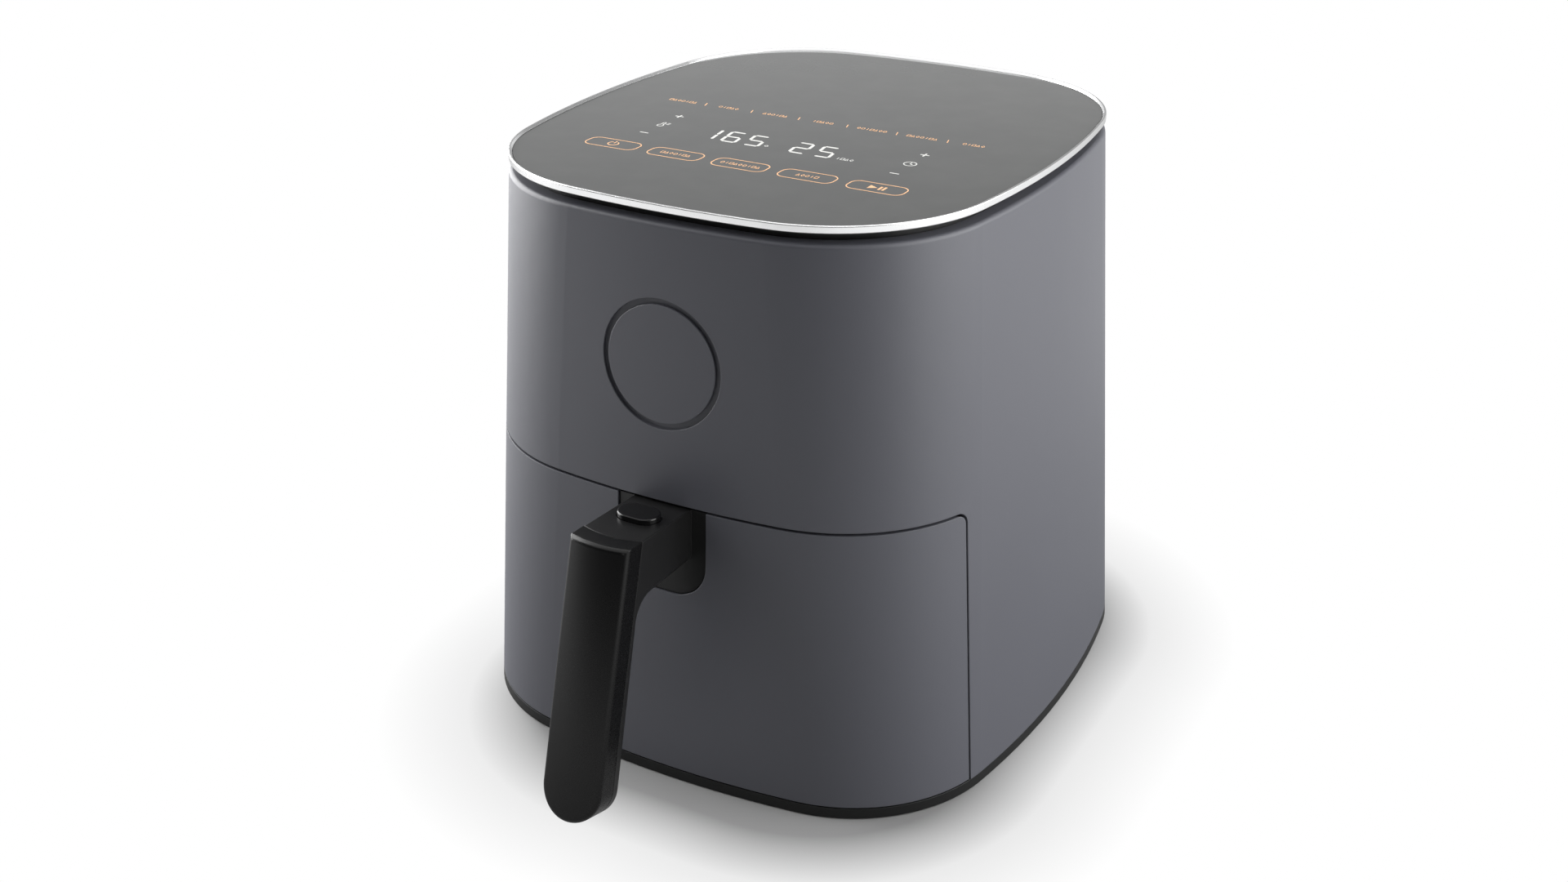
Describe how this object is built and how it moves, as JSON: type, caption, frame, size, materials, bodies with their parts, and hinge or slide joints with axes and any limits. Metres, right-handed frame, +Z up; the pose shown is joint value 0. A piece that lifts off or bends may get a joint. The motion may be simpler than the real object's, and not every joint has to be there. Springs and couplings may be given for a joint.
{
  "type": "air fryer",
  "caption": "Tapered countertop air fryer with a pull-out drawer, lift-out basket, leaning handle with a release button, touch panel lid, heater and fan.",
  "frame": {"origin": "on the counter, under the middle of the overall length from the handle's tip to the back of the base", "axes": "+Z up, +X to the right seen from the front, the drawer pulls out along -Y"},
  "size_m": [0.2926, 0.3918, 0.2895],
  "materials": {
    "housing_plastic": "fine matte moulded grey",
    "base_plastic": "dark satin moulded",
    "black_plastic": "black satin moulded",
    "gloss_black": "gloss black",
    "panel_glass": "dark gloss touch panel",
    "trim_chrome": "bright plated",
    "nonstick": "dark non-stick coating",
    "sheet_steel": "plain sheet",
    "heater_steel": "heat-darkened tube",
    "fan_aluminium": "pressed sheet",
    "zinc_steel": "plated fasteners",
    "laminations": "stacked laminations",
    "winding": "enamelled copper winding",
    "bronze": "sintered bearing bronze",
    "circuit_board": "green board",
    "rubber_foot": "soft rubber"
  },
  "bodies": {
    "housing": {"outer_housing": "housing_plastic", "badge_disc": "housing_plastic", "rear_vent_cover": "black_plastic", "cord_gland": "black_plastic", "base_pan": "base_plastic", "rubber_feet": "rubber_foot", "base_screws": "zinc_steel", "drawer_rails": "black_plastic", "lid_tray": "black_plastic", "top_trim_ring": "trim_chrome", "top_panel": "panel_glass", "control_board": "circuit_board", "display_module": "black_plastic", "chamber_liner": "sheet_steel", "drawer_switch": "black_plastic", "heater_reflector": "sheet_steel", "heater_coil": "heater_steel", "heater_clips": "sheet_steel", "heater_guard": "sheet_steel", "temperature_probe": "zinc_steel", "thermal_cutout": "black_plastic", "motor_bracket": "sheet_steel", "motor_core": "laminations", "motor_coil": "winding", "motor_bridge": "sheet_steel", "lower_bearing": "bronze", "upper_bearing": "bronze", "board_bracket": "sheet_steel", "power_board": "circuit_board"},
    "rotor": {"rotor_shaft": "zinc_steel", "convection_fan": "fan_aluminium", "cooling_fan": "black_plastic", "fan_nut": "zinc_steel", "rotor_core": "laminations"},
    "drawer": {"drawer_front": "housing_plastic", "front_backing": "black_plastic", "drawer_pan": "nonstick", "pan_screws": "zinc_steel", "cooking_basket": "nonstick", "handle_front_cover": "black_plastic", "handle_rear_shell": "black_plastic", "handle_screws": "zinc_steel", "notch_liner": "black_plastic", "basket_bracket": "zinc_steel", "bracket_screws": "zinc_steel", "latch_pin": "zinc_steel", "button_spring": "zinc_steel"},
    "button": {"release_button": "gloss_black"},
    "latch": {"latch_lever": "black_plastic"},
    "plunger": {"switch_plunger": "black_plastic"}
  },
  "joints": [
    {"name": "drawer_slide", "type": "slide", "parent": "housing", "child": "drawer", "axis": [0, -1, 0], "range_m": [0, 0.28]},
    {"name": "button_press", "type": "slide", "parent": "drawer", "child": "button", "axis": [0, 0, -1], "range_m": [0, 0.003], "stiffness_N_per_m": 300, "deforming": ["button_spring"]},
    {"name": "latch_pivot", "type": "hinge", "parent": "drawer", "child": "latch", "pos_m": [0, -0.09595, 0.1311], "axis": [1, 0, 0], "range_deg": [0, 8.1]},
    {"name": "fan_spin", "type": "hinge", "parent": "housing", "child": "rotor", "pos_m": [0, 0.0402, 0.2], "axis": [0, 0, 1], "continuous": true},
    {"name": "plunger_slide", "type": "slide", "parent": "housing", "child": "plunger", "axis": [0, -1, 0], "range_m": [0, 0.003]}
  ],
  "couplings": [
    {"joint": "latch_pivot", "follows": "button_press", "rad_per_m": 46.51},
    {"joint": "plunger_slide", "follows": "drawer_slide", "ratio": 0.010714}
  ]
}
